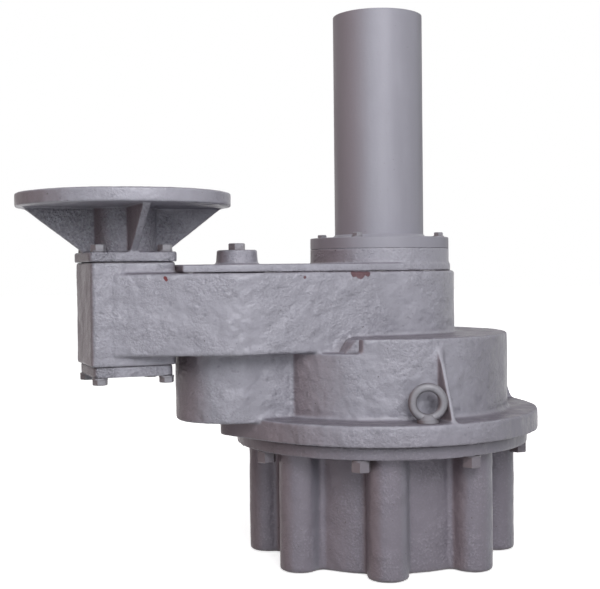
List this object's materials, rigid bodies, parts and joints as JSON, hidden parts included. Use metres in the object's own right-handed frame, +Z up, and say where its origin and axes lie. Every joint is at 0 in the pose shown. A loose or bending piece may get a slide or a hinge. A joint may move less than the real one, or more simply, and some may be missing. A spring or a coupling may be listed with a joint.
{
  "type": "reduction gearbox",
  "caption": "Vertical cast reduction gearbox with a side arm that carries a round motor flange, a round footed casing with a hollow output shaft below, and a tall closed standpipe.",
  "frame": {"origin": "on the main axis at the foot face", "axes": "+Z up along the main axis, the arm and the motor flange along -X, the pictured side towards -Y"},
  "size_m": [0.7836, 0.4752, 0.815],
  "materials": {
    "cast_paint": "semi-gloss grey paint on rough cast iron",
    "tube_paint": "smooth semi-gloss grey paint",
    "eye_paint": "semi-gloss grey paint on a forged eye",
    "bolt_paint": "grey paint over a steel bolt",
    "screw_steel": "plain steel",
    "seal_rubber": "black lip seal",
    "machined_iron": "machined",
    "bearing_steel": "ground",
    "bush_bronze": "turned",
    "gear_steel": "ground teeth",
    "shaft_steel": "turned and ground"
  },
  "bodies": {
    "housing": {"lower_casing": "cast_paint", "gear_housing": "cast_paint", "arm_cover": "cast_paint", "bearing_plate": "machined_iron", "ring_gear": "gear_steel", "standpipe": "tube_paint", "motor_adapter": "cast_paint", "box_cover": "cast_paint", "output_seal": "seal_rubber", "input_seal": "seal_rubber", "seal_cap": "cast_paint", "filler_plug": "screw_steel", "lifting_eye_front": "eye_paint", "lifting_eye_rear": "eye_paint", "casing_bolts": "bolt_paint", "standpipe_bolts": "bolt_paint", "adapter_bolts": "bolt_paint", "box_cover_bolts": "bolt_paint", "arm_cover_screws": "screw_steel", "bearing_plate_screws": "screw_steel", "seal_cap_screws": "screw_steel", "input_bearing_upper_outer": "bearing_steel", "input_bearing_lower_outer": "bearing_steel", "counter_bearing_upper_outer": "bearing_steel", "counter_bearing_lower_outer": "bearing_steel", "main_bearing_upper_outer": "bearing_steel", "main_bearing_lower_outer": "bearing_steel", "output_bearing_upper_outer": "bearing_steel", "output_bearing_lower_outer": "bearing_steel"},
    "main_shaft": {"sun_shaft": "shaft_steel", "main_wheel": "gear_steel", "main_wheel_key": "gear_steel", "main_spacer_lower": "shaft_steel", "main_spacer_upper": "shaft_steel", "main_bearing_lower_inner": "bearing_steel", "main_bearing_upper_inner": "bearing_steel"},
    "countershaft_set": {"countershaft": "shaft_steel", "counter_wheel": "gear_steel", "counter_wheel_key": "gear_steel", "counter_spacer": "shaft_steel", "counter_bearing_lower_inner": "bearing_steel", "counter_bearing_upper_inner": "bearing_steel"},
    "input_set": {"input_shaft": "shaft_steel", "input_bearing_lower_inner": "bearing_steel", "input_bearing_upper_inner": "bearing_steel"},
    "carrier_set": {"planet_carrier": "shaft_steel", "planet_pins": "shaft_steel", "output_spacer": "shaft_steel", "output_bearing_lower_inner": "bearing_steel", "output_bearing_upper_inner": "bearing_steel"},
    "planet_set_1": {"planet_gear_1": "gear_steel", "planet_bush_1": "bush_bronze"},
    "planet_set_2": {"planet_gear_2": "gear_steel", "planet_bush_2": "bush_bronze"},
    "planet_set_3": {"planet_gear_3": "gear_steel", "planet_bush_3": "bush_bronze"}
  },
  "joints": [
    {"name": "main_spin", "type": "hinge", "parent": "housing", "child": "main_shaft", "pos_m": [0, 0, 0.27], "axis": [0, 0, 1], "continuous": true},
    {"name": "counter_spin", "type": "hinge", "parent": "housing", "child": "countershaft_set", "pos_m": [-0.242, 0, 0.32], "axis": [0, 0, 1], "continuous": true},
    {"name": "input_spin", "type": "hinge", "parent": "housing", "child": "input_set", "pos_m": [-0.396, 0, 0.38], "axis": [0, 0, 1], "continuous": true},
    {"name": "output_spin", "type": "hinge", "parent": "housing", "child": "carrier_set", "pos_m": [0, 0, 0.05], "axis": [0, 0, 1], "continuous": true},
    {"name": "planet_spin_1", "type": "hinge", "parent": "carrier_set", "child": "planet_set_1", "pos_m": [0, 0.09, 0.133], "axis": [0, 0, 1], "continuous": true},
    {"name": "planet_spin_2", "type": "hinge", "parent": "carrier_set", "child": "planet_set_2", "pos_m": [-0.07794, -0.045, 0.133], "axis": [0, 0, 1], "continuous": true},
    {"name": "planet_spin_3", "type": "hinge", "parent": "carrier_set", "child": "planet_set_3", "pos_m": [0.07794, -0.045, 0.133], "axis": [0, 0, 1], "continuous": true}
  ],
  "couplings": [
    {"joint": "counter_spin", "follows": "main_spin", "ratio": -2.7812},
    {"joint": "input_spin", "follows": "main_spin", "ratio": 6.9531},
    {"joint": "output_spin", "follows": "main_spin", "ratio": 0.25},
    {"joint": "planet_spin_1", "follows": "main_spin", "ratio": -0.75},
    {"joint": "planet_spin_2", "follows": "main_spin", "ratio": -0.75},
    {"joint": "planet_spin_3", "follows": "main_spin", "ratio": -0.75}
  ]
}
